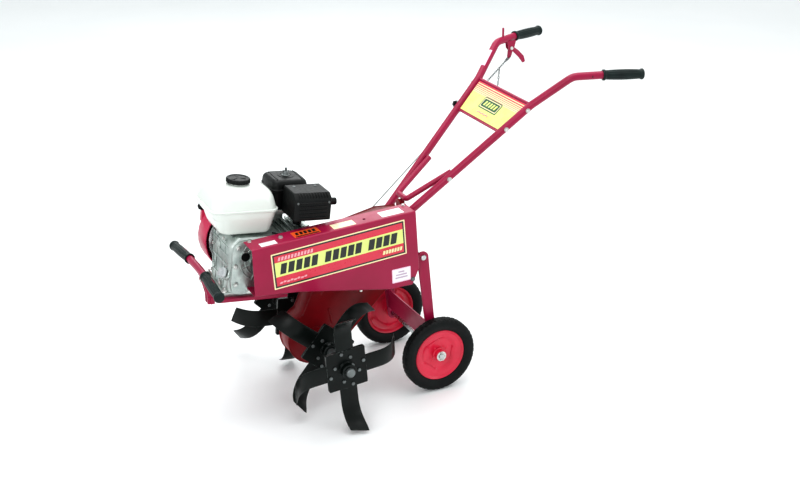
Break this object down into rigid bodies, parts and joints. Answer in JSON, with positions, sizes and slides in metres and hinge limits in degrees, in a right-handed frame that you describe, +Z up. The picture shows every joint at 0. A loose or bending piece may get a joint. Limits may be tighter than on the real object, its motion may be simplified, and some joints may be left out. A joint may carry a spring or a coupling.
{
  "type": "walk-behind tiller",
  "caption": "Front-tine tiller with a horizontal-shaft engine, belt and chain drive, curved tine sets, transport wheels and splayed handlebars with a clutch lever.",
  "frame": {"origin": "on the ground under the middle of the machine's overall box", "axes": "+X from the engine towards the handlebars, +Y to the starter side away from the belt guard, +Z up"},
  "size_m": [1.2573, 0.6226, 0.9434],
  "materials": {
    "red_paint": "glossy crimson enamel",
    "wheel_paint": "glossy red enamel",
    "shroud_paint": "glossy red enamel",
    "black_steel": "satin black enamel, worn at the edges",
    "bright_steel": "zinc plated",
    "cast_iron": "machined and oiled",
    "cast_aluminium": "as cast, matte",
    "rubber": "matt, moulded",
    "tyre": "solid rubber",
    "black_plastic": "moulded, satin",
    "guard_black": "heat-resistant satin black",
    "white_tank": "glossy white enamel"
  },
  "bodies": {
    "chassis": {"chain_case": "red_paint", "chain_case_cover": "red_paint", "input_chain": "bright_steel", "output_chain": "bright_steel", "drive_belt": "rubber", "jackshaft_bearing_left": "bright_steel", "jackshaft_bearing_right": "bright_steel", "engine_deck": "red_paint", "lift_handle": "red_paint", "lift_grip_left": "rubber", "lift_grip_right": "rubber", "belt_guard": "red_paint", "guard_backplate": "red_paint", "leg_pivot_bar": "bright_steel", "handlebar_left": "red_paint", "handlebar_right": "red_paint", "grip_left": "rubber", "grip_right": "rubber", "handlebar_panel": "red_paint", "handlebar_brace": "red_paint", "engine_block": "cast_aluminium", "crankcase_cover": "cast_aluminium", "fan_shroud": "shroud_paint", "fuel_tank": "white_tank", "air_cleaner": "black_plastic", "muffler_guard": "guard_black", "muffler": "black_steel"},
    "tine_rotor": {"tine_shaft": "bright_steel", "tine_set_left_outer": "black_steel", "tine_set_left_inner": "black_steel", "tine_set_right_inner": "black_steel", "tine_set_right_outer": "black_steel"},
    "intermediate_shaft": {"intermediate_shaft": "bright_steel"},
    "jackshaft": {"jackshaft": "bright_steel", "driven_pulley": "cast_iron"},
    "crankshaft": {"crankshaft": "bright_steel", "engine_pulley": "cast_iron"},
    "idler_arm": {"idler_arm": "bright_steel"},
    "idler_pulley": {"idler_pulley": "bright_steel"},
    "wheel_frame": {"wheel_leg_left": "red_paint", "wheel_leg_right": "red_paint", "leg_cross_plate": "red_paint", "wheel_axle": "bright_steel"},
    "wheel_left": {"tyre_left": "tyre", "rim_left": "wheel_paint"},
    "wheel_right": {"tyre_right": "tyre", "rim_right": "wheel_paint"},
    "clutch_lever": {"clutch_lever": "red_paint"},
    "clutch_pull": {"clutch_chain": "bright_steel", "clutch_cable": "bright_steel"},
    "starter_handle": {"starter_handle": "black_plastic"},
    "engine_switch": {"engine_switch": "black_plastic"},
    "throttle_lever": {"throttle_lever": "bright_steel"},
    "choke_lever": {"choke_lever": "black_plastic"},
    "fuel_cap": {"fuel_cap": "black_plastic"},
    "oil_filler_cap": {"oil_filler_cap": "cast_aluminium"},
    "air_cleaner_nut": {"air_cleaner_nut": "black_plastic"}
  },
  "joints": [
    {"name": "tine_spin", "type": "hinge", "parent": "chassis", "child": "tine_rotor", "pos_m": [-0.28, 0, 0.1839], "axis": [0, 1, 0], "continuous": true},
    {"name": "intermediate_spin", "type": "hinge", "parent": "chassis", "child": "intermediate_shaft", "pos_m": [-0.138, 0, 0.3164], "axis": [0, 1, 0], "continuous": true},
    {"name": "jackshaft_spin", "type": "hinge", "parent": "chassis", "child": "jackshaft", "pos_m": [-0.115, 0, 0.4524], "axis": [0, 1, 0], "continuous": true},
    {"name": "crankshaft_spin", "type": "hinge", "parent": "chassis", "child": "crankshaft", "pos_m": [-0.453, 0, 0.4764], "axis": [0, 1, 0], "continuous": true},
    {"name": "clutch_squeeze", "type": "hinge", "parent": "chassis", "child": "clutch_lever", "pos_m": [0.493, 0.222, 0.8764], "axis": [0, -1, 0], "range_deg": [0, 20], "stiffness_Nm_per_rad": 4, "springref_deg": -6.88},
    {"name": "clutch_pull_slide", "type": "slide", "parent": "chassis", "child": "clutch_pull", "axis": [0.8125, 0.1987, 0.5481], "range_m": [0, 0.0078]},
    {"name": "idler_arm_swing", "type": "hinge", "parent": "chassis", "child": "idler_arm", "pos_m": [-0.2412, 0, 0.4117], "axis": [0, -1, 0], "range_deg": [0, 9.4]},
    {"name": "idler_pulley_spin", "type": "hinge", "parent": "idler_arm", "child": "idler_pulley", "pos_m": [-0.3, -0.121, 0.4464], "axis": [0, 1, 0], "continuous": true},
    {"name": "wheel_frame_swing", "type": "hinge", "parent": "chassis", "child": "wheel_frame", "pos_m": [0.012, 0, 0.4134], "axis": [0, -1, 0], "range_deg": [0, 80]},
    {"name": "wheel_left_spin", "type": "hinge", "parent": "wheel_frame", "child": "wheel_left", "pos_m": [0.05, -0.164, 0.112], "axis": [0, 1, 0], "continuous": true},
    {"name": "wheel_right_spin", "type": "hinge", "parent": "wheel_frame", "child": "wheel_right", "pos_m": [0.05, 0.164, 0.112], "axis": [0, 1, 0], "continuous": true},
    {"name": "starter_pull", "type": "slide", "parent": "chassis", "child": "starter_handle", "axis": [-0.3987, 0, 0.9171], "range_m": [0, 0.5], "stiffness_N_per_m": 20, "springref_m": -0.1},
    {"name": "engine_switch_turn", "type": "hinge", "parent": "chassis", "child": "engine_switch", "pos_m": [-0.37421, 0.15, 0.4171], "axis": [0, 1, 0], "range_deg": [0, 60]},
    {"name": "throttle_swing", "type": "hinge", "parent": "chassis", "child": "throttle_lever", "pos_m": [-0.36302, 0.148, 0.50641], "axis": [0, -1, 0], "range_deg": [-25, 25]},
    {"name": "choke_swing", "type": "hinge", "parent": "chassis", "child": "choke_lever", "pos_m": [-0.33351, 0.06, 0.52519], "axis": [0.9936, 0, -0.1132], "range_deg": [0, 45]},
    {"name": "fuel_cap_turn", "type": "hinge", "parent": "chassis", "child": "fuel_cap", "pos_m": [-0.47265, 0.012, 0.6749], "axis": [0.1132, 0, 0.9936], "range_deg": [0, 90]},
    {"name": "oil_filler_cap_turn", "type": "hinge", "parent": "chassis", "child": "oil_filler_cap", "pos_m": [-0.54194, -0.052, 0.44225], "axis": [-0.8949, 0, 0.4462], "range_deg": [0, 720]},
    {"name": "air_cleaner_nut_turn", "type": "hinge", "parent": "chassis", "child": "air_cleaner_nut", "pos_m": [-0.32107, 0.048, 0.66266], "axis": [0.1132, 0, 0.9936], "range_deg": [0, 720]}
  ],
  "couplings": [
    {"joint": "intermediate_spin", "follows": "tine_spin", "ratio": 2.5833},
    {"joint": "jackshaft_spin", "follows": "tine_spin", "ratio": 6.6736},
    {"joint": "clutch_pull_slide", "follows": "clutch_squeeze", "m_per_rad": 0.022202},
    {"joint": "idler_arm_swing", "follows": "clutch_squeeze", "ratio": 0.47}
  ]
}
